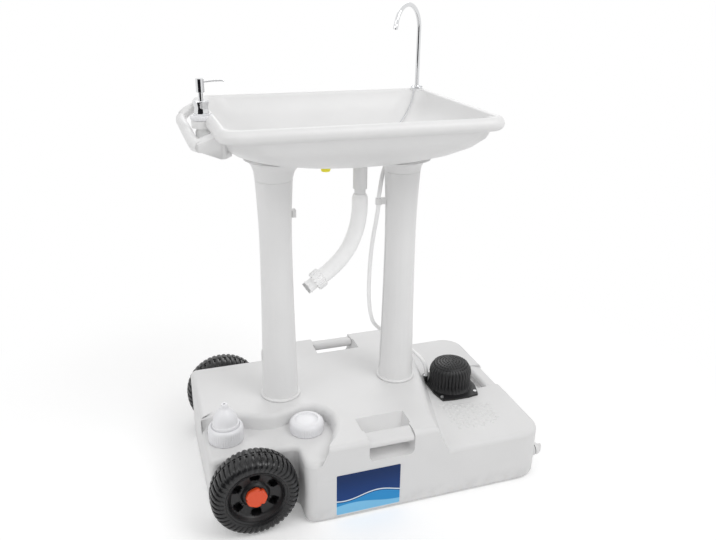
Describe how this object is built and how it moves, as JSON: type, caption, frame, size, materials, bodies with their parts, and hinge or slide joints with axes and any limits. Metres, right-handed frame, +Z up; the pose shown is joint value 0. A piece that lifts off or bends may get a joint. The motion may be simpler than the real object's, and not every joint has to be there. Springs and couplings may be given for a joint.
{
  "type": "portable wash stand",
  "caption": "Rolling portable sink: a water tank on wheels carries plug-in legs, a basin with towel rail and soap pump, a swivel faucet and a foot pump.",
  "frame": {"origin": "middle of the tank's flat underside, on the floor", "axes": "+X towards the foot pump end, -Y to the front, +Z up"},
  "size_m": [0.7595, 0.47, 1],
  "materials": {
    "tank_plastic": "moulded, fine pebble grain",
    "basin_plastic": "moulded, fine grain",
    "cap_plastic": "smooth, slightly glossy",
    "clear_plastic": "translucent white",
    "yellow_plastic": "smooth",
    "black_plastic": "satin",
    "orange_plastic": "smooth",
    "tyre_rubber": "matt",
    "black_rubber": "matt",
    "chrome": "polished",
    "steel": "satin"
  },
  "bodies": {
    "stand": {"tank": "tank_plastic", "front_handle": "tank_plastic", "back_handle": "tank_plastic", "end_handle": "tank_plastic", "axle": "steel", "axle_washers": "steel", "axle_nuts": "steel", "left_leg": "basin_plastic", "right_leg": "basin_plastic", "basin": "basin_plastic", "vent_plug": "yellow_plastic", "drain_flange": "chrome", "drain_gasket": "black_rubber", "drain_tailpiece": "basin_plastic", "drain_hose": "clear_plastic", "hose_nut": "basin_plastic", "hose_spigot": "basin_plastic", "faucet_base": "chrome", "faucet_gasket": "black_rubber", "faucet_nut": "steel", "supply_tube": "clear_plastic", "tube_clips": "basin_plastic", "soap_ring": "cap_plastic", "soap_collar": "chrome", "soap_spring": "steel", "soap_bottle": "clear_plastic", "soap_dip_tube": "clear_plastic", "pump_flange": "black_plastic", "pump_screws": "steel", "pump_bellows": "black_rubber", "pump_spring": "steel", "pump_cylinder": "basin_plastic", "pump_outlet": "black_plastic", "pump_inlet_valve": "black_rubber", "intake_tube": "clear_plastic", "intake_strainer": "basin_plastic"},
    "front_wheel": {"front_tyre": "tyre_rubber", "front_wheel_rim": "black_plastic", "front_hub_cap": "orange_plastic"},
    "back_wheel": {"back_tyre": "tyre_rubber", "back_wheel_rim": "black_plastic", "back_hub_cap": "orange_plastic"},
    "fill_seal_disc": {"fill_cap_seal": "black_rubber"},
    "fill_screw_cap": {"fill_cap": "cap_plastic"},
    "spout_seal_ring": {"spout_cap_seal": "black_rubber"},
    "spout_screw_cap": {"spout_cap": "cap_plastic"},
    "drain_seal_ring": {"drain_plug_seal": "black_rubber"},
    "drain_screw_plug": {"drain_plug": "basin_plastic"},
    "faucet": {"faucet_spout": "chrome", "aerator": "chrome"},
    "soap_pump": {"soap_head": "chrome"},
    "foot_pump": {"pump_crown": "black_plastic", "piston_cup": "black_rubber"},
    "drain_stopper": {"stopper": "black_rubber", "stopper_chain": "steel"}
  },
  "joints": [
    {"name": "front_wheel_roll", "type": "hinge", "parent": "stand", "child": "front_wheel", "pos_m": [-0.283, -0.2, 0.09], "axis": [0, 1, 0], "continuous": true},
    {"name": "back_wheel_roll", "type": "hinge", "parent": "stand", "child": "back_wheel", "pos_m": [-0.283, 0.2, 0.09], "axis": [0, 1, 0], "continuous": true},
    {"name": "fill_cap_lift", "type": "slide", "parent": "stand", "child": "fill_seal_disc", "axis": [0, 0, 1], "range_m": [0, 0.012]},
    {"name": "fill_cap_turn", "type": "hinge", "parent": "fill_seal_disc", "child": "fill_screw_cap", "pos_m": [-0.15, -0.112, 0.15], "axis": [0, 0, 1], "range_deg": [0, 1080.1]},
    {"name": "spout_cap_lift", "type": "slide", "parent": "stand", "child": "spout_seal_ring", "axis": [0, 0, 1], "range_m": [0, 0.012]},
    {"name": "spout_cap_turn", "type": "hinge", "parent": "spout_seal_ring", "child": "spout_screw_cap", "pos_m": [-0.319, -0.094, 0.15], "axis": [0, 0, 1], "range_deg": [0, 1080.1]},
    {"name": "drain_plug_lift", "type": "slide", "parent": "stand", "child": "drain_seal_ring", "axis": [1, 0, 0], "range_m": [0, 0.012]},
    {"name": "drain_plug_turn", "type": "hinge", "parent": "drain_seal_ring", "child": "drain_screw_plug", "pos_m": [0.366, -0.192, 0.042], "axis": [1, 0, 0], "range_deg": [0, 1080.1]},
    {"name": "faucet_swivel", "type": "hinge", "parent": "stand", "child": "faucet", "pos_m": [0.21, 0.213, 0.81], "axis": [0, 0, 1], "range_deg": [-60, 60]},
    {"name": "soap_pump_press", "type": "slide", "parent": "stand", "child": "soap_pump", "axis": [0, 0, -1], "range_m": [0, 0.012], "stiffness_N_per_m": 200, "springref_m": -0.01, "deforming": ["soap_spring"]},
    {"name": "foot_pump_press", "type": "slide", "parent": "stand", "child": "foot_pump", "axis": [0, 0, -1], "range_m": [0, 0.028], "stiffness_N_per_m": 1500, "springref_m": -0.02, "deforming": ["pump_bellows", "pump_spring"]},
    {"name": "stopper_lift", "type": "slide", "parent": "stand", "child": "drain_stopper", "axis": [0, 0, 1], "range_m": [0, 0.04]}
  ],
  "couplings": [
    {"joint": "fill_cap_turn", "follows": "fill_cap_lift", "rad_per_m": 1570.8},
    {"joint": "spout_cap_turn", "follows": "spout_cap_lift", "rad_per_m": 1570.8},
    {"joint": "drain_plug_turn", "follows": "drain_plug_lift", "rad_per_m": 1570.8}
  ]
}
